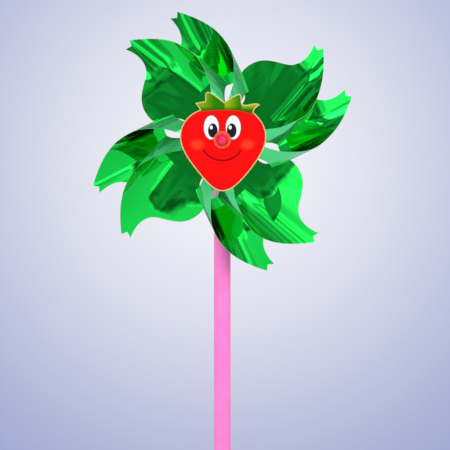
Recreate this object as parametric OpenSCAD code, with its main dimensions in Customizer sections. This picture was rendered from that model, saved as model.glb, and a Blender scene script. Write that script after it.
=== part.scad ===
// Foil garden windmill: a two-layer foil wheel that spins on a plastic axle pin,
// a strawberry card in front of it, and a hollow stick that pushes into the ground.
// The stick's foot is at the origin, +Z is up, and the wheel faces -Y.

/* [Stick] */
// Outer diameter of the stick's tube
stick_od = 11; // [9:0.5:13]
// Wall of the stick's tube
stick_wall = 0.8; // [0.6:0.1:1.2]
// Height of the wheel's axis above the foot
hub_height = 310; // [250:5:500]

/* [Stick head] */
// Outer diameter of the head that caps the stick
head_od = 15; // [14.5:0.5:18]
// How far the head's skirt reaches below the wheel's axis
skirt_drop = 45; // [30:1:60]
// Diameter of the cross boss that holds the axle pin
boss_d = 8.4; // [7:0.2:10]
// How far the boss reaches forward from the stick's middle
boss_front = 12; // [9:0.5:16]

/* [Axle] */
// Diameter of the axle pin
axle_d = 3; // [2.5:0.1:4]
// Running clearance all round the pin
axle_play = 0.08; // [0.05:0.01:0.1]
// Diameter of the pin's rear head
pin_head_d = 7; // [5.5:0.5:8]

/* [Foil wheel] */
// Diameter over the blade tips
wheel_d = 183; // [175:1:200]
// Thickness of the foil
foil_t = 0.25; // [0.2:0.05:0.4]
// Air between one foil layer and the next
layer_gap = 0.05; // [0.05:0.05:0.2]
// Depth from the rear sheet to the first strap's eye
hub_depth = 39.4; // [37:0.2:41]
// Angle of the rear sheet's first blade, counter-clockwise from +X as seen from the front
rear_angle = 20; // [0:1:89]
// How far the front sheet is turned on from the rear sheet
sheet_step = 23.5; // [21:0.5:26]
// Width of each blade's neck, between the sheet's middle and its sail
neck_w = 17.4; // [14:0.2:18]
// Width of the strap that is folded back to the hub, and of the round eye at its end
strap_w = 10; // [8:0.5:10]

/* [Hub] */
// Diameter of the disc behind the rear sheet
rear_disc_d = 20; // [14:1:26]
// Diameter of the disc in front of the straps
front_disc_d = 14; // [11:1:18]
// Outer diameter of the tube that keeps the two ends of the wheel apart
hub_tube_d = 6.4; // [5.6:0.2:8]

/* [Card and nose] */
// Thickness of the card
card_t = 0.8; // [0.5:0.1:1.5]
// Size of the card against its drawn outline
card_scale = 1; // [0.8:0.05:1.2]
// Diameter of the nose cap's flange
flange_d = 11.4; // [9:0.2:14]
// Diameter of the nose cap's dome
dome_d = 7.8; // [6.4:0.2:8.6]

/* [Hidden] */
$fn = 64;

// Rings and bores around the axle
axle_r = axle_d / 2;
grip_r = axle_r + 0.02;      // holes that grip the pin
run_r = axle_r + axle_play;  // holes that turn on the pin
foil_hole_r = axle_r + 0.25; // holes punched in the foil and the card

// Stations along the axle, as distances forward from the stick's middle
boss_back = 9;
pin_head_t = 1.8;
washer_t = 1.5;
disc_t = 1.4;
end_play = 0.2;
washer_at = boss_front + end_play;
rear_disc_at = washer_at + washer_t;
wheel_at = rear_disc_at + disc_t;

// Foil layers, as depths forward from the back of the rear sheet
layer = foil_t + layer_gap;
blade_count = 4;
blade_step = 360 / blade_count;
front_sheet_at = layer;
last_eye = hub_depth + (2 * blade_count - 1) * layer;
front_disc_at = wheel_at + last_eye + layer;
card_washer_at = front_disc_at + disc_t + end_play;
card_washer_t = 1;
card_at = card_washer_at + card_washer_t + layer_gap;
nose_at = card_at + card_t + end_play;
flange_t = 1.3;
dome_rise = 4.2;
grip_depth = 3.6;

// Stick and head
stick_top = hub_height - 12;
head_top = hub_height + 7;
head_r = head_od / 2;
socket_r = stick_od / 2 + 0.05;
skirt_foot = hub_height - skirt_drop;
skirt_lip = 0.8;
skirt_lip_h = 4;

// The head's skirt snaps into a shallow groove round the tube, which starts just below it
groove_depth = 0.25;
groove_r = stick_od / 2 - groove_depth;
groove_from = skirt_foot - 2;
groove_h = 4;
bead_play = 0.05;
bead_h = 1.6;

// Flat outline of one blade, drawn for a 183 mm wheel. Along a blade, r runs out from the
// hub to the tip, and t runs counter-clockwise across it. The folding side is at negative t.
size = wheel_d / 183;
half_diagonal = 92.9 * size; // the uncut square sheet's outer side lies on r - t = half_diagonal
window_r = 33.6 * size;      // where the necks end and the sails begin
window_w = 25 * size;        // how far the window reaches round on the folding side
eye_reach = 79 * size;       // distance to the strap's eye, measured along the sheet
eye_r = strap_w / 2;
side_tip = [91.4, -1.5] * size;
notch = [87.6, 0.3] * size;
wave_tip = [88.8, 4.6] * size;
wave_waist = [66.5, 7] * size;
wave_belly = [48.5, 24.1] * size;
wave_root = [33.6, 20] * size;

function bezier(a, b, c, d, n) =
    [for (i = [0 : n - 1]) let (q = i / n, p = 1 - q)
        p * p * p * a + 3 * p * p * q * b + 3 * p * q * q * c + q * q * q * d];

// The sail's waved edge, from the tip down to the window
wave_neck = bezier(wave_tip, [80, 0.2] * size, [71, 0.8] * size, wave_waist, 8);
wave_shoulder = bezier(wave_waist, [62, 13.5] * size, [58.5, 22.2] * size, wave_belly, 8);
wave_foot = bezier(wave_belly, [42, 25.6] * size, [36.5, 23.5] * size, wave_root, 6);
wave = concat(wave_neck, wave_shoulder, wave_foot, [wave_root]);

// The same cut seen from the next blade: its folding side's inner edge
slit_from = 41 * size;
slit_to = 60.3 * size;
slit = [for (p = wave_shoulder) [p.x, p.y]];
slit_foot = lookup(slit_to, slit);
slit_head = 24.6 * size;
strap_from = half_diagonal - 42 * size; // where the corner is cut off to make the strap

// Tangents from the cut corners to the eye, as r at the distance u along the sheet
function tangent_r(u, from_r, from_u, side) =
    let (gap_r = -from_r, gap_u = eye_reach - from_u,
         span = norm([gap_r, gap_u]),
         heading = atan2(gap_u, gap_r) + side * asin(eye_r / span))
    from_r + (u - from_u) / tan(heading);

function inner_r(u) =
    u < window_w ? window_r :
    u < slit_from ? window_r + (slit_head - window_r) * (u - window_w) / (slit_from - window_w) :
    u < slit_to ? min(slit_head, lookup(u, slit)) :
    tangent_r(u, slit_foot, slit_to, 1);

function strap_r(u) = tangent_r(u, half_diagonal - strap_from, strap_from, -1);
function outer_r(u) = min(half_diagonal - u, strap_r(u));

// A fold of each blade: base is its sheet's depth, and eye its own eye's depth
function curl_r(base, eye) = (eye - base) / 2;
function curl_from(base, eye) = (eye_reach - PI * curl_r(base, eye)) / 2;

// The line along which a blade starts to bend runs from the window out to its side tip
function bend_slope(from_u) = (from_u + side_tip.y) / (side_tip.x - window_r);
function bend_u(r, from_u) = from_u - bend_slope(from_u) * max(0, r - window_r);
function bend_outer_r(u, from_u) =
    let (m = bend_slope(from_u),
         taper = strap_r(0) - strap_r(1),
         side_r = (half_diagonal - u - m * window_r) / (1 - m),
         cut_r = (strap_r(0) - taper * (u + m * window_r)) / (1 - taper * m))
    max(outer_r(u), min(side_r, cut_r));

// Places children with z = 0 at a station along the axle, facing forward
module on_axle(station) {
    translate([0, -station, hub_height])
        rotate([90, 0, 0])
            children();
}

module ring(outer, inner, height) {
    difference() {
        cylinder(r = outer, h = height);
        translate([0, 0, -1])
            cylinder(r = inner, h = height + 2);
    }
}

module stick_tube() {
    color([0.98, 0.5, 0.8])
        difference() {
            ring(stick_od / 2, stick_od / 2 - stick_wall, stick_top);
            translate([0, 0, groove_from])
                ring(stick_od, groove_r, groove_h);
        }
}

module stick_head() {
    color([0.97, 0.8, 0.93])
        difference() {
            union() {
                translate([0, 0, skirt_foot])
                    cylinder(r = head_r, h = head_top - skirt_foot);
                translate([0, 0, head_top])
                    intersection() {
                        sphere(r = head_r);
                        translate([-head_r, -head_r, 0])
                            cube([head_od, head_od, head_r]);
                    }
                translate([0, 0, skirt_foot])
                    cylinder(r = head_r + skirt_lip, h = skirt_lip_h);
                on_axle(-boss_back)
                    cylinder(d = boss_d, h = boss_back + boss_front);
            }
            translate([0, 0, skirt_foot - 1])
                cylinder(r = groove_r + bead_play, h = groove_h);
            translate([0, 0, skirt_foot + bead_h])
                cylinder(r = socket_r, h = stick_top - skirt_foot - bead_h);
            on_axle(-boss_back - 1)
                cylinder(r = grip_r, h = boss_back + boss_front + 2);
        }
}

module axle_pin() {
    pin_back = boss_back + pin_head_t;
    color([0.9, 0.9, 0.88])
        on_axle(-pin_back) {
            cylinder(d = pin_head_d, h = pin_head_t);
            cylinder(r = axle_r, h = pin_back + nose_at + grip_depth);
        }
}

module thrust_washer() {
    color([0.95, 0.95, 0.92])
        on_axle(washer_at)
            ring(boss_d / 2, run_r, washer_t);
}

module rear_hub_disc() {
    color([0.95, 0.95, 0.92])
        on_axle(rear_disc_at)
            ring(rear_disc_d / 2, run_r, disc_t);
}

module foil_center(depth, angle) {
    color([0, 0.7, 0.3])
        on_axle(wheel_at + depth)
            rotate([0, 0, angle])
                linear_extrude(height = foil_t)
                    difference() {
                        union() {
                            for (i = [0 : 1])
                                rotate([0, 0, i * 90])
                                    square([2 * window_r, neck_w], center = true);
                            circle(r = neck_w * 0.8);
                        }
                        circle(r = foil_hole_r);
                    }
}

// The flat sail of a blade, up to the line where it starts to bend
module sail(from_u) {
    linear_extrude(height = foil_t)
        polygon(concat([side_tip, notch], wave, [[window_r, -from_u]]));
}

// The half-round curl between the sail and the strap, as a shell of straight lines that run
// along the blade. A row is one such line: [turn, how far it is slid towards the flat part].
module curl(from_u, radius) {
    turn_step = 7.5;
    overlap = 0.4;
    cells = 4;
    mid = foil_t / 2;
    rows = concat([[0, overlap]], [for (a = [0 : turn_step : 180]) [a, 0]], [[180, overlap]]);
    last = len(rows) - 1;

    // A point on the row's line: k counts along it, and face is 1 outside the curl, -1 inside
    function shell_point(row, k, face) =
        let (a = row[0],
             u = from_u + radius * a * PI / 180,
             low = inner_r(u),
             high = bend_outer_r(u, from_u) - 2 * row[1],
             r = low + (high - low) * k / cells,
             reach = bend_u(r, from_u) - row[1] + (radius + face * mid) * sin(a),
             depth = mid + radius - (radius + face * mid) * cos(a))
        [r, -reach, depth];

    points = [for (face = [1, -1], row = rows, k = [0 : cells]) shell_point(row, k, face)];
    function at(face, i, k) = (face * (last + 1) + i) * (cells + 1) + k;
    skin = [for (i = [0 : last - 1], k = [0 : cells - 1])
        each [[at(0, i, k), at(0, i + 1, k), at(0, i, k + 1)],
              [at(0, i + 1, k), at(0, i + 1, k + 1), at(0, i, k + 1)],
              [at(1, i, k), at(1, i, k + 1), at(1, i + 1, k)],
              [at(1, i + 1, k), at(1, i, k + 1), at(1, i + 1, k + 1)]]];
    edges = [for (i = [0 : last - 1])
        each [[at(0, i, 0), at(1, i, 0), at(1, i + 1, 0)],
              [at(0, i, 0), at(1, i + 1, 0), at(0, i + 1, 0)],
              [at(0, i, cells), at(1, i + 1, cells), at(1, i, cells)],
              [at(0, i, cells), at(0, i + 1, cells), at(1, i + 1, cells)]]];
    ends = [for (k = [0 : cells - 1])
        each [[at(0, 0, k), at(0, 0, k + 1), at(1, 0, k)],
              [at(0, 0, k + 1), at(1, 0, k + 1), at(1, 0, k)],
              [at(0, last, k), at(1, last, k), at(0, last, k + 1)],
              [at(0, last, k + 1), at(1, last, k), at(1, last, k + 1)]]];
    polyhedron(points, concat(skin, edges, ends));
}

// The flat end of the strap, from the curl to its eye on the axle
module strap_end(from_u, radius) {
    flat_u = from_u + radius * PI;
    reach = eye_reach - flat_u;
    linear_extrude(height = foil_t)
        union() {
            circle(r = eye_r);
            polygon([[inner_r(flat_u), -reach],
                     [inner_r(eye_reach - eye_r * 0.8), -eye_r * 0.8],
                     [0, 0],
                     [outer_r(eye_reach + eye_r * 0.8), eye_r * 0.8],
                     [outer_r(flat_u), -reach]]);
        }
}

module blade(base, eye, angle) {
    radius = curl_r(base, eye);
    from_u = curl_from(base, eye);
    color([0, 0.75, 0.32])
        on_axle(wheel_at + base)
            rotate([0, 0, angle])
                difference() {
                    union() {
                        sail(from_u);
                        curl(from_u, radius);
                        translate([0, 0, 2 * radius])
                            strap_end(from_u, radius);
                    }
                    translate([0, 0, -1])
                        cylinder(r = foil_hole_r, h = eye + 3);
                }
}

// The front sheet's straps lie under the rear sheet's, in the order that they are folded
module front_blade(i) {
    blade(front_sheet_at, hub_depth + i * layer,
          rear_angle + sheet_step + i * blade_step);
}

module rear_blade(i) {
    blade(0, hub_depth + (blade_count + i) * layer, rear_angle + i * blade_step);
}

module hub_tube() {
    tube_at = wheel_at + 2 * layer;
    color([0.95, 0.95, 0.92])
        on_axle(tube_at)
            ring(hub_tube_d / 2, run_r, wheel_at + hub_depth - layer_gap - tube_at);
}

module front_hub_disc() {
    color([0.95, 0.95, 0.92])
        on_axle(front_disc_at)
            ring(front_disc_d / 2, run_r, disc_t);
}

module card_washer() {
    color([0.95, 0.95, 0.92])
        on_axle(card_washer_at)
            ring(boss_d / 2, run_r, card_washer_t);
}

// Outline of the card around its hole, clockwise from the notch between the two tall leaves.
// The leaves are drawn a little to the right of the hole, as on a berry seen half from the side.
leaf_notch = [1.5, 24.9];
right_leaf = [11.2, 30.2];
right_valley = [12.9, 24];
right_leaflet = [24.9, 23];
right_join = [20.4, 18.3];
right_belly = [28.9, 2];
right_flank = [17, -21.6];
berry_point = [-0.2, -33.7];
left_flank = [-17.2, -19.6];
left_belly = [-27.8, 2];
left_join = [-14.7, 19.8];
left_leaflet = [-17.7, 24.3];
left_valley = [-11.4, 25.5];
left_leaf = [-9.8, 31.6];
card_outline = concat(
    bezier(leaf_notch, [4.5, 26.8], [8.6, 30.3], right_leaf, 4),
    bezier(right_leaf, [13.4, 29.6], [12.4, 26.5], right_valley, 4),
    bezier(right_valley, [15.5, 21], [21.5, 26.2], right_leaflet, 5),
    bezier(right_leaflet, [23.2, 22.3], [20.8, 20.5], right_join, 3),
    bezier(right_join, [23.5, 15.5], [28.9, 10.5], right_belly, 7),
    bezier(right_belly, [28.9, -5.5], [23.5, -13.5], right_flank, 6),
    bezier(right_flank, [11.5, -28], [6.5, -33.7], berry_point, 7),
    bezier(berry_point, [-6.5, -33.7], [-12, -25.8], left_flank, 7),
    bezier(left_flank, [-23, -12.5], [-27.8, -5], left_belly, 6),
    bezier(left_belly, [-27.8, 10.5], [-22.5, 17], left_join, 7),
    bezier(left_join, [-15.2, 21.2], [-16.8, 22.8], left_leaflet, 3),
    bezier(left_leaflet, [-15, 24.8], [-13, 25.2], left_valley, 3),
    bezier(left_valley, [-10.4, 27.8], [-12.6, 31], left_leaf, 4),
    bezier(left_leaf, [-6.6, 31.9], [-2.5, 27.4], leaf_notch, 5));

module strawberry_card() {
    color([0.93, 0.05, 0.05])
        on_axle(card_at)
            linear_extrude(height = card_t)
                difference() {
                    scale(card_scale)
                        polygon(card_outline);
                    circle(r = foil_hole_r);
                }
}

module nose_cap() {
    dome_r = dome_d / 2;
    color([0.95, 0.1, 0.2])
        on_axle(nose_at)
            difference() {
                union() {
                    cylinder(d = flange_d, h = flange_t);
                    cylinder(r = dome_r, h = flange_t + dome_rise - dome_r);
                    translate([0, 0, flange_t + dome_rise - dome_r])
                        intersection() {
                            sphere(r = dome_r);
                            translate([-dome_r, -dome_r, 0])
                                cube([dome_d, dome_d, dome_r]);
                        }
                }
                translate([0, 0, -1])
                    cylinder(r = grip_r, h = grip_depth + 1);
            }
}

stick_tube();
stick_head();
axle_pin();
thrust_washer();
rear_hub_disc();
foil_center(0, rear_angle);  // rear_foil_center
rear_blade(0);  // rear_blade_1
rear_blade(1);  // rear_blade_2
rear_blade(2);  // rear_blade_3
rear_blade(3);  // rear_blade_4
foil_center(front_sheet_at, rear_angle + sheet_step);  // front_foil_center
front_blade(0);  // front_blade_1
front_blade(1);  // front_blade_2
front_blade(2);  // front_blade_3
front_blade(3);  // front_blade_4
hub_tube();
front_hub_disc();
card_washer();
strawberry_card();
nose_cap();
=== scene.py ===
"""Foil garden windmill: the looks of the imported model. Metres, +Z up, and the wheel faces -Y."""
import math

import bmesh
import bpy
from mathutils import Matrix, Vector
from mathutils.geometry import interpolate_bezier


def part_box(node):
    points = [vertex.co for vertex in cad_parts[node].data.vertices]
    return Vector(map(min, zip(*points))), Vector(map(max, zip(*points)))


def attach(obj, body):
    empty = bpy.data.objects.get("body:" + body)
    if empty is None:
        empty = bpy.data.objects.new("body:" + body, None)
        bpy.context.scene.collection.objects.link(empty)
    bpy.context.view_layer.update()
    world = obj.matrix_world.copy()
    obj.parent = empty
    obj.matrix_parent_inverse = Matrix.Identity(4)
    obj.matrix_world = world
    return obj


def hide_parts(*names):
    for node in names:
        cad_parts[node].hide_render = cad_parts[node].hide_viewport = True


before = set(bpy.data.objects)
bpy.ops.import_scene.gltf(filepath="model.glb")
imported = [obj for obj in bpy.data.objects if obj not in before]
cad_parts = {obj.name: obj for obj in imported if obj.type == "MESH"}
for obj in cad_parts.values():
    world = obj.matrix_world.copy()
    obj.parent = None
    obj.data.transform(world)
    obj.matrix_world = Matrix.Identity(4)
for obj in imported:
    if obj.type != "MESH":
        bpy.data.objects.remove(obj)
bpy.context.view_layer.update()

# ---------------------------------------------------------------------------------------------
# Stick. An extruded pink polypropylene tube, cut square at both ends, with a shallow groove
# pressed in near the top for the head to snap into. Its foot is pushed into the ground.
MM = 0.001
tube_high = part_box("stick_tube")[1]
tube_r = tube_high.x
tube_wall = 0.8 * MM
edge_round = 0.25 * MM
merge_gap = 0.001 * MM


class Shade:
    """One output in a node tree. The operators on it add Math nodes to the tree."""

    def __init__(self, tree, output=None):
        self.tree = tree
        self.output = output

    def node(self, kind, settings, inputs, output=0):
        """Adds a node: its settings first, then the values or links of its inputs."""
        made = self.tree.nodes.new(kind)
        for key, value in settings.items():
            if key == "stops":
                ramp = made.color_ramp
                while len(ramp.elements) < len(value):
                    ramp.elements.new(0.5)
                for element, (place, colour) in zip(ramp.elements, value):
                    element.position = place
                    element.color = (*colour, 1)
            else:
                setattr(made, key, value)
        for key, value in inputs.items():
            if isinstance(value, Shade):
                self.tree.links.new(value.output, made.inputs[key])
            else:
                made.inputs[key].default_value = value
        return Shade(self.tree, made.outputs[output])

    def math(self, operation, *values):
        return self.node("ShaderNodeMath", {"operation": operation}, dict(enumerate(values)))

    def __add__(self, other):
        return self.math("ADD", self, other)

    def __radd__(self, other):
        return self.math("ADD", other, self)

    def __sub__(self, other):
        return self.math("SUBTRACT", self, other)

    def __rsub__(self, other):
        return self.math("SUBTRACT", other, self)

    def __mul__(self, other):
        return self.math("MULTIPLY", self, other)

    def __rmul__(self, other):
        return self.math("MULTIPLY", other, self)

    def __truediv__(self, other):
        return self.math("DIVIDE", self, other)

    def __pow__(self, other):
        return self.math("POWER", self, other)

    def step(self, low, high):
        """0 below low and 1 above high, with a smooth rise between them."""
        span = {"Value": self, "From Min": low, "From Max": high}
        return self.node("ShaderNodeMapRange", {"interpolation_type": "SMOOTHSTEP"}, span)

    def mix(self, first, second):
        """The first colour where this is 0, and the second where it is 1."""
        return self.node("ShaderNodeMix", {"data_type": "RGBA"}, {0: self, 6: first, 7: second}, 2)

    def feed(self, socket):
        self.tree.links.new(self.output, socket)


def new_finish(name, roughness, **constants):
    """A material, with its Principled shader and the start of its node tree."""
    made = bpy.data.materials.new(name)
    made.use_nodes = True
    shader = made.node_tree.nodes["Principled BSDF"]
    shader.inputs["Roughness"].default_value = roughness
    for socket, value in constants.items():
        shader.inputs[socket.replace("_", " ")].default_value = value
    return made, shader, Shade(made.node_tree)


def turned(bm, profile, steps=96):
    """Spins a closed (radius, height) outline once round Z."""
    start = [bm.verts.new((max(radius, 0), 0, height)) for radius, height in profile]
    ring = [bm.edges.new(pair) for pair in zip(start, start[1:] + start[:1])]
    bmesh.ops.spin(bm, geom=start + ring, cent=(0, 0, 0), axis=(0, 0, 1), dvec=(0, 0, 0),
                   angle=math.tau, steps=steps, use_merge=True, use_duplicate=False)
    bmesh.ops.remove_doubles(bm, verts=bm.verts, dist=merge_gap)
    bmesh.ops.recalc_face_normals(bm, faces=bm.faces)


def soften(bm, width, sharp=30, segments=3):
    """Rounds every edge that turns by more than the sharp angle, in degrees."""
    hard = [e for e in bm.edges
            if len(e.link_faces) == 2 and e.calc_face_angle() > math.radians(sharp)]
    bmesh.ops.bevel(bm, geom=hard, offset=width, offset_type="OFFSET", affect="EDGES",
                    segments=segments, profile=0.5, clamp_overlap=True, material=-1)


def piece(name, bm, finishes, body, nodes, smooth=35):
    """Makes the finished object from bm: it rides on its body and replaces its CAD nodes."""
    mesh = bpy.data.meshes.new(name)
    bm.to_mesh(mesh)
    bm.free()
    mesh.shade_smooth()
    mesh.set_sharp_from_angle(angle=math.radians(smooth))
    made = bpy.data.objects.new(name, mesh)
    bpy.context.scene.collection.objects.link(made)
    for finish in finishes:
        mesh.materials.append(finish)
    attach(made, body)
    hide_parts(*nodes)


pink_tube, shader, start = new_finish("pink_tube", 0.32, Coat_Weight=0.1, Coat_Roughness=0.2,
                                      Specular_IOR_Level=0.3)
place = start.node("ShaderNodeTexCoord", {}, {}, "Object")
stretched = start.node("ShaderNodeMapping", {}, {"Vector": place, "Scale": (900, 900, 12)})
draw_lines = start.node("ShaderNodeTexNoise", {},
                        {"Vector": stretched, "Scale": 1.0, "Detail": 2.0})
clouds = start.node("ShaderNodeTexNoise", {}, {"Vector": place, "Scale": 60.0, "Detail": 3.0})
pink = clouds.step(0.3, 0.7).mix((0.98, 0.20, 0.58, 1), (0.98, 0.235, 0.62, 1))
pink.feed(shader.inputs["Base Color"])
(0.28 + 0.12 * draw_lines).feed(shader.inputs["Roughness"])
bump = start.node("ShaderNodeBump", {},
                  {"Strength": 0.25, "Distance": 0.08 * MM, "Height": draw_lines})
bump.feed(shader.inputs["Normal"])

cut_round = edge_round / 2
groove_depth = 0.25 * MM
groove_h = 4 * MM
head_low, head_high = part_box("stick_head")
groove_from = head_low.z - groove_h / 2
bm = bmesh.new()
turned(bm, [
    (tube_r - tube_wall, 0), (tube_r, 0),
    (tube_r, groove_from), (tube_r - groove_depth, groove_from),
    (tube_r - groove_depth, groove_from + groove_h), (tube_r, groove_from + groove_h),
    (tube_r, tube_high.z), (tube_r - tube_wall, tube_high.z)])
soften(bm, cut_round)
piece("stick", bm, [pink_tube], "stand", ["stick_tube"])

# ---------------------------------------------------------------------------------------------
# Stick head. A pale pink injection moulding that caps the tube: a slim skirt with a thicker
# lip, a domed top, and a round boss moulded across it that grips the axle pin.
head_r = 7.5 * MM
lip = 0.8 * MM
lip_h = 4 * MM
socket_r = tube_r + 0.05 * MM
socket_top = tube_high.z
bead_r = tube_r - 0.15 * MM  # the bead inside the skirt that snaps into the stick's groove
bead_h = 1.6 * MM
pin_low, pin_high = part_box("axle_pin")
hub_z = (pin_low.z + pin_high.z) / 2
boss_r = 4.2 * MM
boss_round = 0.4 * MM
boss_back, boss_front = head_high.y, head_low.y
dome_at = head_high.z - head_r

pale_pink, shader, start = new_finish("pale_pink_moulding", 0.3, Coat_Weight=0.2,
                                      Subsurface_Weight=0.15, Subsurface_Scale=0.003)
place = start.node("ShaderNodeTexCoord", {}, {}, "Object")
flow = start.node("ShaderNodeTexNoise", {}, {"Vector": place, "Scale": 140.0, "Detail": 4.0})
paler = flow.step(0.3, 0.75).mix((0.96, 0.56, 0.82, 1), (0.98, 0.66, 0.88, 1))
paler.feed(shader.inputs["Base Color"])
(0.24 + 0.16 * flow).feed(shader.inputs["Roughness"])
eroded = start.node("ShaderNodeTexNoise", {}, {"Vector": place, "Scale": 1800.0, "Detail": 2.0})
bump = start.node("ShaderNodeBump", {}, {"Strength": 0.2, "Distance": 0.06 * MM, "Height": eroded})
bump.feed(shader.inputs["Normal"])


def quarter(radius, centre_h):
    """The outline of a dome, from its rim up to its top on the axis."""
    turns = [math.radians(degrees) for degrees in range(0, 91, 6)]
    return [(radius * math.cos(a), centre_h + radius * math.sin(a)) for a in turns]


bm = bmesh.new()
turned(bm, [
    (bead_r, head_low.z), (head_r + lip, head_low.z),
    (head_r + lip, head_low.z + lip_h), (head_r, head_low.z + lip_h),
    *quarter(head_r, dome_at),
    (0, socket_top), (socket_r, socket_top),
    (socket_r, head_low.z + bead_h), (bead_r, head_low.z + bead_h)])
soften(bm, edge_round, sharp=40)
# The body and the boss are fused, so that no wall of one is left inside the other
head_mesh = bpy.data.meshes.new("head_body")
bm.to_mesh(head_mesh)
bm.free()
head_body = bpy.data.objects.new("head_body", head_mesh)
bm = bmesh.new()
turned(bm, [(0, boss_front), (boss_r, boss_front), (boss_r, boss_back), (0, boss_back)])
soften(bm, boss_round, sharp=40)
lie_back = Matrix.Rotation(math.radians(-90), 3, "X")
bmesh.ops.rotate(bm, verts=bm.verts, cent=(0, 0, 0), matrix=lie_back)
bmesh.ops.translate(bm, verts=bm.verts, vec=(0, 0, hub_z))
boss_mesh = bpy.data.meshes.new("head_boss")
bm.to_mesh(boss_mesh)
bm.free()
head_boss = bpy.data.objects.new("head_boss", boss_mesh)
for part in (head_body, head_boss):
    bpy.context.scene.collection.objects.link(part)
union = head_body.modifiers.new("boss", "BOOLEAN")
union.operation = "UNION"
union.solver = "EXACT"
union.object = head_boss
depsgraph = bpy.context.evaluated_depsgraph_get()
fused = bpy.data.meshes.new_from_object(head_body.evaluated_get(depsgraph))
for part in (head_body, head_boss):
    bpy.data.objects.remove(part)
bm = bmesh.new()
bm.from_mesh(fused)
piece("stick_cap", bm, [pale_pink], "stand", ["stick_head"])

# ---------------------------------------------------------------------------------------------
# Axle pin, discs and washers. Milky nylon turnings and mouldings on one axis: the headed pin,
# a washer and a disc behind the foil, the spacer tube, a disc in front, and the card's washer.
nylon, shader, start = new_finish("natural_nylon", 0.4,
                                  Subsurface_Weight=0.2, Subsurface_Scale=0.002)
place = start.node("ShaderNodeTexCoord", {}, {}, "Object")
milk = start.node("ShaderNodeTexNoise", {}, {"Vector": place, "Scale": 220.0, "Detail": 3.0})
milky = milk.step(0.3, 0.7).mix((0.80, 0.80, 0.74, 1), (0.88, 0.88, 0.83, 1))
milky.feed(shader.inputs["Base Color"])
(0.34 + 0.14 * milk).feed(shader.inputs["Roughness"])
grain = start.node("ShaderNodeTexNoise", {}, {"Vector": place, "Scale": 2500.0, "Detail": 1.0})
bump = start.node("ShaderNodeBump", {}, {"Strength": 0.15, "Distance": 0.04 * MM, "Height": grain})
bump.feed(shader.inputs["Normal"])

axle_r = 1.5 * MM
run_r = 1.58 * MM


def along_axle(bm):
    """Lays what was turned round Z along the axle: its height becomes the distance forward."""
    lie_forward = Matrix.Rotation(math.radians(90), 3, "X")
    bmesh.ops.rotate(bm, verts=bm.verts, cent=(0, 0, 0), matrix=lie_forward)
    bmesh.ops.translate(bm, verts=bm.verts, vec=(0, 0, hub_z))


def axle_ring(name, node, body):
    """A flat ring or tube on the pin, the size of its CAD node, with rounded rims."""
    low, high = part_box(node)
    bm = bmesh.new()
    turned(bm, [(run_r, -high.y), (high.x, -high.y), (high.x, -low.y), (run_r, -low.y)])
    soften(bm, edge_round, sharp=40)
    along_axle(bm)
    piece(name, bm, [nylon], body, [node])


axle_ring("rear_washer", "thrust_washer", "wheel")
axle_ring("rear_disc", "rear_hub_disc", "wheel")
axle_ring("spacer_tube", "hub_tube", "wheel")
axle_ring("front_disc", "front_hub_disc", "wheel")
axle_ring("front_washer", "card_washer", "card")

pin_head_t = 1.8 * MM
bm = bmesh.new()
turned(bm, [(0, -pin_high.y), (pin_high.x, -pin_high.y), (pin_high.x, -pin_high.y + pin_head_t),
            (axle_r, -pin_high.y + pin_head_t), (axle_r, -pin_low.y), (0, -pin_low.y)])
soften(bm, edge_round, sharp=40)
along_axle(bm)
piece("axle", bm, [nylon], "stand", ["axle_pin"])

# ---------------------------------------------------------------------------------------------
# Foil wheel. Two square sheets of metallised green film, die-cut into four blades each. Every
# blade's corner is a strap, folded over to the front and threaded on the pin by its punched eye.
foil_t = 0.25  # the CAD film; every length on the flat pattern is in millimetres
film_t = 0.16
window_r = 33.6
window_w = 25.0
neck = 8.7
wave_fillet = 8.0
fold_fillet = 3.0
eye_reach = 79.0
eye_r = 5.0
hole_r = 1.75
side_tip = Vector((91.4, -1.5))
wave_tip = Vector((88.8, 4.6))
wave_waist = Vector((66.5, 7.0))
wave_belly = Vector((48.5, 24.1))
wave_root = Vector((33.6, 20.0))
slit_end = 60.3
slit_head = Vector((24.6, -41))
strap_root = Vector((42, -50.9))
tip_notch = Vector((87.6, 0.3))
eye_gap = 216  # where the outline enters and leaves the eye's ring, in degrees


def arc(centre, radius, first, last, count):
    """Points on a circle from the first to the last angle, in degrees."""
    turns = [math.radians(first + (last - first) * i / count) for i in range(count + 1)]
    return [Vector(centre) + radius * Vector((math.cos(a), math.sin(a))) for a in turns]


wave_neck = interpolate_bezier(wave_tip, (80, 0.2), (71, 0.8), wave_waist, 16)
wave_shoulder = interpolate_bezier(wave_waist, (62, 13.5), (58.5, 22.2), wave_belly, 16)
wave_foot = interpolate_bezier(wave_belly, (42, 25.6), (36.5, 23.5), wave_root, 12)
# The same cut seen from the next blade, where it frees the strap
slit = [Vector((p.y, -p.x)) for p in reversed(wave_shoulder) if p.x < slit_end and p.y < slit_head.x]
eye = Vector((0, -eye_reach))


def touch(corner, side):
    """The angle, in degrees, at which a strap's edge from this corner meets the eye's ring."""
    gap = corner - eye
    return math.degrees(math.atan2(gap.y, gap.x) + side * math.acos(eye_r / gap.length))


outline = (
    [side_tip, tip_notch]
    + wave_neck[:-1] + wave_shoulder[:-1] + wave_foot
    + arc((window_r - wave_fillet, neck + wave_fillet), wave_fillet, 0, -90, 8)
    + [Vector((neck, neck))]
    + arc((0, 0), hole_r, 45, -45, 8)
    + [Vector((neck, -neck))]
    + arc((window_r - fold_fillet, -neck - fold_fillet), fold_fillet, 90, 0, 6)
    + [Vector((window_r, -window_w)), slit_head]
    + slit
    + arc(eye, eye_r, touch(slit[-1], 1), eye_gap, 8)
    + arc(eye, hole_r, eye_gap, eye_gap - 360, 24)
    + arc(eye, eye_r, eye_gap, 360 + touch(strap_root, -1), 8)
    + [strap_root])

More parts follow.
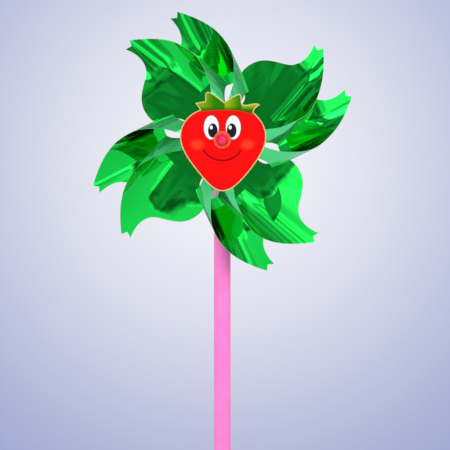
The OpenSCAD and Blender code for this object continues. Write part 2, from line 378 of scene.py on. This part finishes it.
# The flat blade, as a thin slab that is cut into a fine net so that it can be bent
blade = bmesh.new()
lid = blade.faces.new([blade.verts.new((p.x, p.y, -film_t / 2)) for p in outline])
raised = bmesh.ops.extrude_face_region(blade, geom=[lid])["geom"]
bmesh.ops.translate(blade, verts=[v for v in raised if isinstance(v, bmesh.types.BMVert)],
                    vec=(0, 0, film_t))
bmesh.ops.recalc_face_normals(blade, faces=blade.faces)
net = neck / 6
map_width = 100
cuts_across = ((0, 1, 0), -57, 17, net)
cuts_along = ((1, 0, 0), -2, 31, 2 * net)
for axis, first, last, pitch in (cuts_across, cuts_along):
    for line in range(first, last + 1):
        bmesh.ops.bisect_plane(blade, geom=blade.verts[:] + blade.edges[:] + blade.faces[:],
                               dist=0.0001, plane_co=Vector(axis) * line * pitch, plane_no=axis)
# The cuts between one blade's neck and the next aren't in the film
inner_cuts = [f for f in blade.faces if abs(f.normal.z) < 0.5
              and abs(abs(f.calc_center_median().y) - f.calc_center_median().x) < 0.01]
bmesh.ops.delete(blade, geom=inner_cuts, context="FACES")
for f in blade.faces:
    f.material_index = 0 if f.normal.z > 0.5 else 1 if f.normal.z < -0.5 else 2
pattern_map = blade.loops.layers.uv.new("pattern")
for f in blade.faces:
    for loop in f.loops:
        loop[pattern_map].uv = loop.vert.co.xy / map_width
flat_blade = bpy.data.meshes.new("flat_blade")
blade.to_mesh(flat_blade)
blade.free()

# How a sail bends, in millimetres: it comes free of its neck between the first two radii, leans
# outwards from just inside the fold, is fluted like a fan round fan_centre, and tilts at its tip
free_from, free_at = window_r - 2, window_r + 26
lean_from = 8
lean_span = 30
fan_centre = Vector((12, -8))
flute_turns = 15
tip_ease = 12
weld_gap = 0.01 * MM


def ease(value, low, high):
    """0 below low, 1 above high, smooth between."""
    x = min(1, max(0, (value - low) / (high - low)))
    return x * x * (3 - 2 * x)


def folded(r, t, radius, lean, tilt, tip_from, flutter, phase):
    """Where the point (r, t) of the flat pattern goes: out, round and forward, in millimetres."""
    bend_start = (eye_reach - math.pi * radius) / 2
    slope = (bend_start + side_tip.y) / (side_tip.x - window_r)
    past = -t - bend_start + slope * max(0, r - window_r)
    # The free sail leans on its waved side, its tip tilts, and flutes fan out from the neck
    free = ease(r, free_from, free_at)
    fan = math.atan2(t - fan_centre.y, r - fan_centre.x)
    fine_flutes = 0.3 * math.sin((2 * flute_turns + 1) * fan + 2 * phase)
    flutes = flutter * free * (math.sin(flute_turns * fan + phase) + fine_flutes)
    beyond = max(0, r - tip_from)
    tip = tilt * (beyond ** 2 / (2 * tip_ease) if beyond < tip_ease else beyond - tip_ease / 2)
    bow = lean * free * (max(0, lean_from - past) / lean_span) ** 2 + tip
    if past <= 0:
        return Vector((r, t, bow + flutes))
    turn = past / radius
    if turn < math.pi:
        bow = (bow + flutes * (1 - turn / math.pi)) * max(0, 1 - turn / math.pi)
        return Vector((r, t + past + (bow - radius) * math.sin(turn),
                       radius + (bow - radius) * math.cos(turn)))
    return Vector((r, t + past + past - math.pi * radius, 2 * radius))


def foil_sheet(name, nodes, centre_node, first_angle, bends):
    """One sheet with its four blades, each folded to the depth of its own CAD node."""
    back = -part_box(centre_node)[1].y / MM
    near = 0.05
    sheet = bmesh.new()
    for index, (node, bend) in enumerate(zip(nodes, bends)):
        radius = (-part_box(node)[0].y / MM - back - foil_t) / 2
        angle = math.radians(first_angle + 90 * index)
        outward = Vector((math.cos(angle), 0, math.sin(angle)))
        onward = Vector((-math.sin(angle), 0, math.cos(angle)))
        old = len(sheet.verts)
        sheet.from_mesh(flat_blade)
        sheet.verts.ensure_lookup_table()
        for vert in sheet.verts[old:]:
            r, t, depth = vert.co
            goal = folded(r, t, radius, *bend)
            along = folded(r + near, t, radius, *bend)
            beside = folded(r, t + near, radius, *bend)
            goal += (along - goal).cross(beside - goal).normalized() * depth
            forward = Vector((0, -(back + foil_t / 2 + goal.z), 0))
            vert.co = (outward * goal.x + onward * goal.y + forward) * MM
            vert.co.z += hub_z
    bmesh.ops.remove_doubles(sheet, verts=sheet.verts, dist=weld_gap)
    finishes = [green_foil, foil_back_with_painted_highlight, foil_edge]
    piece(name, sheet, finishes, "wheel", [centre_node, *nodes], smooth=50)


def foil_finish(name, deep, bright, roughness, **constants):
    """Metallised film: a mirror tinted by its lacquer, with faint dents and drawn streaks; the paler
    tint given for the back is a painted highlight.
    """
    finish, shader, start = new_finish(name, roughness, **constants)
    place = start.node("ShaderNodeTexCoord", {}, {}, "Object")
    on_film = start.node("ShaderNodeUVMap", {"uv_map": "pattern"}, {}, 0)
    tint = start.node("ShaderNodeTexNoise", {}, {"Vector": place, "Scale": 9.0, "Detail": 2.0})
    tint.step(0.3, 0.7).mix(deep, bright).feed(shader.inputs["Base Color"])
    haze = start.node("ShaderNodeTexNoise", {}, {"Vector": place, "Scale": 70.0, "Detail": 4.0})
    (roughness * (0.6 + 0.8 * haze)).feed(shader.inputs["Roughness"])
    drawn = start.node("ShaderNodeMapping", {}, {"Vector": on_film, "Scale": (2, 22, 1)})
    streaks = start.node("ShaderNodeTexNoise", {}, {"Vector": drawn, "Scale": 1.0, "Detail": 2.0})
    dents = start.node("ShaderNodeTexNoise", {}, {"Vector": place, "Scale": 38.0, "Detail": 1.0})
    film = 0.35 * streaks + dents
    bump = start.node("ShaderNodeBump", {}, {"Strength": 0.25, "Distance": 0.5 * MM, "Height": film})
    bump.feed(shader.inputs["Normal"])
    return finish


green_foil = foil_finish("green_foil", (0.004, 0.60, 0.055, 1), (0.008, 0.74, 0.075, 1), 0.06,
                         Metallic=1.0, Coat_Weight=0.1, Coat_Roughness=0.05)
# The back of the film faces forward on the straps, where they turn to the front; its paler, mintier
# tint is a painted highlight there
foil_back_with_painted_highlight = foil_finish("foil_back_with_painted_highlight", (0.05, 0.68, 0.20, 1), (0.10, 0.80, 0.30, 1), 0.12,
                           Metallic=0.75, Coat_Weight=0.3, Coat_Roughness=0.08)
foil_edge, shader, start = new_finish("foil_edge", 0.35)
place = start.node("ShaderNodeTexCoord", {}, {}, "Object")
cut_marks = start.node("ShaderNodeTexNoise", {}, {"Vector": place, "Scale": 600.0, "Detail": 1.0})
cut_green = cut_marks.step(0.3, 0.7).mix((0.13, 0.64, 0.27, 1), (0.17, 0.76, 0.33, 1))
cut_green.feed(shader.inputs["Base Color"])

# How each blade has been bent by handling: the lean of its waved side, its tip's tilt and where
# that starts, and the height in millimetres and the start of the flutes
rear_bends = [(-2.4, -0.25, 62, 0.10, 0.3), (-3.4, -0.23, 56, 0.08, 1.9),
              (-0.4, -0.25, 54, 0.10, 4.0), (-1.2, -0.25, 55, 0.10, 5.1)]
front_bends = [(0.6, -0.24, 66, 0.14, 1.0), (0.8, -0.25, 53, 0.16, 2.2),
               (-2.6, -0.24, 56, 0.12, 3.1), (-0.6, -0.18, 38, 0.12, 4.4)]
rear_angle = 20
sheet_step = 23.5
foil_sheet("rear_foil_sheet", [f"rear_blade_{i}" for i in range(1, 5)], "rear_foil_center",
           rear_angle, rear_bends)
foil_sheet("front_foil_sheet", [f"front_blade_{i}" for i in range(1, 5)], "front_foil_center",
           rear_angle + sheet_step, front_bends)

# ---------------------------------------------------------------------------------------------
# Strawberry card. Printed and laminated board, die-cut round the picture with a narrow cream
# border, and punched once for the pin. The back is plain cream board.
card_low, card_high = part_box("strawberry_card")
card_back, card_front = -card_high.y, -card_low.y
border = 0.7 * MM
card_curves = (
    ((1.5, 24.9), (4.5, 26.8), (8.6, 30.3), (11.2, 30.2), 8),
    ((11.2, 30.2), (13.4, 29.6), (12.4, 26.5), (12.9, 24), 8),
    ((12.9, 24), (15.5, 21), (21.5, 26.2), (24.9, 23), 10),
    ((24.9, 23), (23.2, 22.3), (20.8, 20.5), (20.4, 18.3), 5),
    ((20.4, 18.3), (23.5, 15.5), (28.9, 10.5), (28.9, 2), 14),
    ((28.9, 2), (28.9, -5.5), (23.5, -13.5), (17, -21.6), 12),
    ((17, -21.6), (11.5, -28), (6.5, -33.7), (-0.2, -33.7), 14),
    ((-0.2, -33.7), (-6.5, -33.7), (-12, -25.8), (-17.2, -19.6), 14),
    ((-17.2, -19.6), (-23, -12.5), (-27.8, -5), (-27.8, 2), 12),
    ((-27.8, 2), (-27.8, 10.5), (-22.5, 17), (-14.7, 19.8), 14),
    ((-14.7, 19.8), (-15.2, 21.2), (-16.8, 22.8), (-17.7, 24.3), 5),
    ((-17.7, 24.3), (-15, 24.8), (-13, 25.2), (-11.4, 25.5), 5),
    ((-11.4, 25.5), (-10.4, 27.8), (-12.6, 31), (-9.8, 31.6), 8),
    ((-9.8, 31.6), (-6.6, 31.9), (-2.5, 27.4), (1.5, 24.9), 10))

printed_card, shader, start = new_finish("printed_card", 0.3, Coat_Weight=0.12, Coat_Roughness=0.12,
                                         Specular_IOR_Level=0.1)
place = start.node("ShaderNodeTexCoord", {}, {}, "Object")
x = start.node("ShaderNodeSeparateXYZ", {}, {0: place}, 0) / MM
z = start.node("ShaderNodeSeparateXYZ", {}, {0: place}, 2) / MM - hub_z / MM


def spot(cx, cz, rx, rz, soft=0.06):
    """1 inside the ellipse and 0 outside, with a soft rim."""
    far = (((x - cx) / rx) ** 2 + ((z - cz) / rz) ** 2) ** 0.5
    return 1 - far.step(1 - soft, 1 + soft)


def either(first, second):
    return first.math("MAXIMUM", first, second)


def pair(cx, cz, rx, rz, soft=0.06):
    """A spot on each side of the card's middle."""
    return either(spot(-cx, cz, rx, rz, soft), spot(cx, cz, rx, rz, soft))


# The print is laid down in layers: the berry, darker at its edge, two round blushes, two eyes
# with their rims, pupils and glints, a smile that is part of a circle, and then the leaves
paper_white = (0.84, 0.85, 0.90, 1)
eye_x, eye_z = 7.2, 8.2
smile_r = 14.5
edge_shade = ((x - 1) / 29) ** 2 + ((z + 1) / 33) ** 2
picture = edge_shade.step(0.35, 1.25).mix((0.88, 0.0, 0.0, 1), (0.66, 0.0, 0.002, 1))
picture = (pair(16.5, -3.0, 3.6, 2.8, 0.7) * 0.6).mix(picture, (1.0, 0.07, 0.02, 1))
picture = pair(eye_x, eye_z, 5.3, 8.2).mix(picture, (0.12, 0.0, 0.01, 1))
picture = pair(eye_x, eye_z, 4.9, 7.8).mix(picture, paper_white)
picture = pair(eye_x - 1, eye_z - 2, 3.2, 4.7).mix(picture, (0.012, 0.012, 0.015, 1))
glints = either(spot(-eye_x, eye_z, 1.0, 1.3), spot(eye_x - 2, eye_z, 1.0, 1.3))
picture = glints.mix(picture, paper_white)
from_smile = (x ** 2 + (z - 1) ** 2) ** 0.5 - smile_r
smile = (1 - from_smile.math("ABSOLUTE", from_smile).step(0.35, 0.8)) * (0 - z - 6).step(0, 1.2)
picture = (smile * 0.85).mix(picture, (0.16, 0.0, 0.004, 1))
# Two dark leaves to the left and two lighter ones to the right, each shaded from its root
fold = (x - 1.5).step(-0.3, 0.3)
right_tone = 1 - (x - 2).step(0, 10.5) * (1 - (x - 12.4).step(0, 0.6))
left_tone = 0.55 * (0 - x - 4).step(0, 9)
leaf_tone = right_tone * 0.85 * fold + left_tone * (1 - fold)
leaf_green = leaf_tone.mix((0.02, 0.18, 0.0, 1), (0.30, 0.46, 0.0, 1))
leaf_green = (1 - (z - 19.5).step(-0.5, 3.5)).mix(leaf_green, (0.02, 0.12, 0.0, 1))
leaf_line = z - 19.7 + 0.013 * (x - 3) ** 2 * (x - 3).step(-40, 40)
picture = leaf_line.step(-0.25, 0.25).mix(picture, leaf_green)
picture.feed(shader.inputs["Base Color"])
fibres = start.node("ShaderNodeTexNoise", {}, {"Vector": place, "Scale": 900.0, "Detail": 2.0})
(0.2 + 0.1 * fibres).feed(shader.inputs["Roughness"])
bump = start.node("ShaderNodeBump", {}, {"Strength": 0.08, "Distance": 0.05 * MM, "Height": fibres})
bump.feed(shader.inputs["Normal"])

cream_board, shader, start = new_finish("cream_board", 0.45)
place = start.node("ShaderNodeTexCoord", {}, {}, "Object")
fibres = start.node("ShaderNodeTexNoise", {}, {"Vector": place, "Scale": 500.0, "Detail": 4.0})
cream = fibres.step(0.3, 0.7).mix((0.60, 0.42, 0.14, 1), (0.70, 0.52, 0.20, 1))
cream.feed(shader.inputs["Base Color"])
(0.38 + 0.14 * fibres).feed(shader.inputs["Roughness"])

# The face of the card is cut, its border is inset, and the pin's hole is cut out of the print
bm = bmesh.new()
rim_points = [p for *handles, count in card_curves for p in interpolate_bezier(*handles, count)[:-1]]
face = bm.faces.new([bm.verts.new((p.x * MM, p.y * MM, card_back)) for p in rim_points])
face.normal_update()
bmesh.ops.inset_region(bm, faces=[face], thickness=border, use_even_offset=True, use_boundary=True)
inner_edges = list(face.edges)
bmesh.ops.delete(bm, geom=[face], context="FACES_ONLY")
border_faces = set(bm.faces)
hole = bmesh.ops.create_circle(bm, segments=32, radius=hole_r * MM)["verts"]
bmesh.ops.translate(bm, verts=hole, vec=(0, 0, card_back))
hole_edges = list({e for v in hole for e in v.link_edges})
bmesh.ops.triangle_fill(bm, edges=inner_edges + hole_edges, use_beauty=True, use_dissolve=False)
for f in bm.faces:
    f.material_index = 1 if f in border_faces else 0
fronts = bmesh.ops.extrude_face_region(bm, geom=bm.faces[:])["geom"]
back_faces = [f for f in bm.faces if f not in set(fronts)]
bmesh.ops.translate(bm, verts=[v for v in fronts if isinstance(v, bmesh.types.BMVert)],
                    vec=(0, 0, card_front - card_back))
for f in back_faces:
    f.material_index = 1
bmesh.ops.recalc_face_normals(bm, faces=bm.faces)
along_axle(bm)
piece("card", bm, [printed_card, cream_board], "card", ["strawberry_card"])

# ---------------------------------------------------------------------------------------------
# Nose cap. A small glossy cap of tinted plastic, pressed on the end of the pin: a thin round
# flange, orange with a painted glow for the light coming through it, and a deep crimson dome.
cap_low, cap_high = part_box("nose_cap")
cap_back, cap_front = -cap_high.y, -cap_low.y
flange_r = cap_high.x
flange_t = 1.3 * MM
dome_r = 3.9 * MM
bore_top = cap_back + 3.6 * MM
cap_round = 0.35 * MM
red_cap, shader, start = new_finish("red_cap", 0.15, Coat_Weight=0.8, Coat_Roughness=0.03,
                                    Specular_IOR_Level=0.3)
place = start.node("ShaderNodeTexCoord", {}, {}, "Object")
side = start.node("ShaderNodeSeparateXYZ", {}, {0: place}, 0) / MM
height = start.node("ShaderNodeSeparateXYZ", {}, {0: place}, 2) / MM - hub_z / MM
from_axis = (side ** 2 + height ** 2) ** 0.5
# Painted light in the cap's colour: paler crimson at the dome's middle is a painted highlight, the
# darkest ring at the dome's foot is painted shade, and the flange's orange is its tint with a
# painted glow
crimson_with_painted_glow_and_shade = [
    (0.0, (0.92, 0.01, 0.12)), (0.5, (0.75, 0.0, 0.05)), (0.68, (0.5, 0.0, 0.01)),
    (0.72, (0.95, 0.04, 0.01)), (1.0, (1.0, 0.12, 0.04))]
cap_colour_with_painted_glow = start.node("ShaderNodeValToRGB", {"stops": crimson_with_painted_glow_and_shade},
                  {0: from_axis / (flange_r / MM)})
cap_colour_with_painted_glow.feed(shader.inputs["Base Color"])
swirl = start.node("ShaderNodeTexNoise", {}, {"Vector": place, "Scale": 400.0, "Detail": 2.0})
(0.08 + 0.08 * swirl).feed(shader.inputs["Roughness"])

bm = bmesh.new()
turned(bm, [(axle_r, cap_back), (flange_r, cap_back), (flange_r, cap_back + flange_t),
            (dome_r, cap_back + flange_t), *quarter(dome_r, cap_front - dome_r),
            (0, bore_top), (axle_r, bore_top)])
soften(bm, cap_round, sharp=50, segments=4)
along_axle(bm)
piece("nose", bm, [red_cap], "stand", ["nose_cap"])

# ---------------------------------------------------------------------------------------------
# Studio. A pale floor and backdrop, and soft panels round the windmill. The foil is a mirror, so
# it also shows the room in front of it, which is a ring of light round a dim middle.
camera_distance = 3.5
camera_aside = 0.0018
camera_drop = 0.0559
view_width = 0.2996
camera_data = bpy.data.cameras.new("studio_camera")
camera_data.sensor_width = 36
camera_data.lens = camera_data.sensor_width * camera_distance / view_width
camera = bpy.data.objects.new("studio_camera", camera_data)
wheel_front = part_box("front_foil_center")[0].y
camera.location = (camera_aside, wheel_front - camera_distance, hub_z - camera_drop)
camera.rotation_euler = (math.radians(90), 0, 0)
bpy.context.scene.collection.objects.link(camera)
bpy.context.scene.camera = camera
bpy.context.scene.view_settings.view_transform = "Standard"

world = bpy.data.worlds.new("studio")
world.use_nodes = True
bpy.context.scene.world = world
sky = Shade(world.node_tree)
toward = sky.node("ShaderNodeTexCoord", {}, {}, "Generated")
across = sky.node("ShaderNodeSeparateXYZ", {}, {0: toward}, 0)
away = sky.node("ShaderNodeSeparateXYZ", {}, {0: toward}, 1)
up = sky.node("ShaderNodeSeparateXYZ", {}, {0: toward}, 2)


def panel(left, right, bottom, top, soft):
    """1 inside a soft-edged panel on the room's front wall, by direction across and up."""
    between = across.step(left - soft, left + soft) * (1 - across.step(right - soft, right + soft))
    return between * up.step(bottom - soft, bottom + soft) * (1 - up.step(top - soft, top + soft))


# What the foil mirrors: a room that is dim in the middle and up to the left, with a broad ring
# of light round the middle, three narrow hot lamps, two windows, a lit board and soft shapes
in_front = (0 - away).step(-0.1, 0.15)
off_axis = (across ** 2 + up ** 2) ** 0.5
ring = off_axis.step(0.25, 0.33) * (1 - 0.75 * off_axis.step(0.72, 0.88)) * in_front
dark_corner = up.step(-0.12, -0.02) * (1 - across.step(0.04, 0.14))
hot_lamps = panel(0.42, 0.47, 0.2, 0.7, 0.03) + panel(0.36, 0.40, -0.6, -0.15, 0.03)
hot_lamps = hot_lamps + panel(-0.42, -0.34, -0.5, -0.2, 0.03)
windows = panel(-0.36, -0.14, 0.46, 0.72, 0.02) + panel(0.06, 0.26, 0.46, 0.72, 0.02)
board = panel(-0.50, -0.33, 0.10, 0.34, 0.02)
clutter = sky.node("ShaderNodeTexNoise", {}, {"Vector": toward, "Scale": 4.5, "Detail": 1.5})
shapes = clutter.step(0.38, 0.62)
dim = 0.12 + 0.30 * shapes
lit = ring * (1 - 0.9 * dark_corner) * (0.65 + 0.75 * shapes)
room = dim + lit + (board + 2.0 * hot_lamps + 2.5 * windows) * in_front

# What the camera sees behind the object: pale lavender with painted shade that darkens it away from
# the middle
off_middle = (across ** 2 + (up - 0.012) ** 2) ** 0.5
backdrop = off_middle.step(0.0, 0.085).mix((0.88, 0.88, 0.935, 1), (0.31, 0.36, 0.62, 1))
camera_ray = sky.node("ShaderNodeLightPath", {}, {}, "Is Camera Ray")
mirrored = sky.node("ShaderNodeLightPath", {}, {}, "Is Glossy Ray")
even_light = 0.85
strength = room * mirrored + even_light * (1 - mirrored)
room_light = sky.node("ShaderNodeBackground", {},
                      {"Color": (1, 0.99, 0.98, 1), "Strength": strength})
seen = sky.node("ShaderNodeBackground", {}, {"Color": backdrop, "Strength": 1.0})
surroundings = sky.node("ShaderNodeMixShader", {}, {0: camera_ray, 1: room_light, 2: seen})
surroundings.feed(world.node_tree.nodes["World Output"].inputs["Surface"])

aim_at = Vector((0, 0, hub_z - 0.05))


def soft_light(name, place, size, power):
    """A square panel that faces the lower part of the wheel and isn't mirrored in the foil."""
    data = bpy.data.lights.new(name, "AREA")
    data.shape = "SQUARE"
    data.size = size
    data.energy = power
    lamp = bpy.data.objects.new(name, data)
    lamp.visible_glossy = False
    lamp.location = place
    lamp.rotation_euler = (aim_at - Vector(place)).to_track_quat("-Z", "Y").to_euler()
    bpy.context.scene.collection.objects.link(lamp)


soft_light("left_panel", (-0.9, -0.9, 1.1), 0.7, 7)
soft_light("right_panel", (0.8, -1.0, 1.1), 0.7, 7)

floor_radius = 0.85
floor_gap = 0.5 * MM
floor_mesh = bpy.data.meshes.new("floor")
bm = bmesh.new()
bmesh.ops.create_circle(bm, cap_ends=True, segments=96, radius=floor_radius)
bmesh.ops.translate(bm, verts=bm.verts, vec=(0, 0, -floor_gap))
bm.to_mesh(floor_mesh)
bm.free()
floor = bpy.data.objects.new("floor", floor_mesh)
bpy.context.scene.collection.objects.link(floor)
floor_paint, shader, start = new_finish("floor_paint", 0.6)
shader.inputs["Base Color"].default_value = (0.72, 0.73, 0.8, 1)
floor_mesh.materials.append(floor_paint)
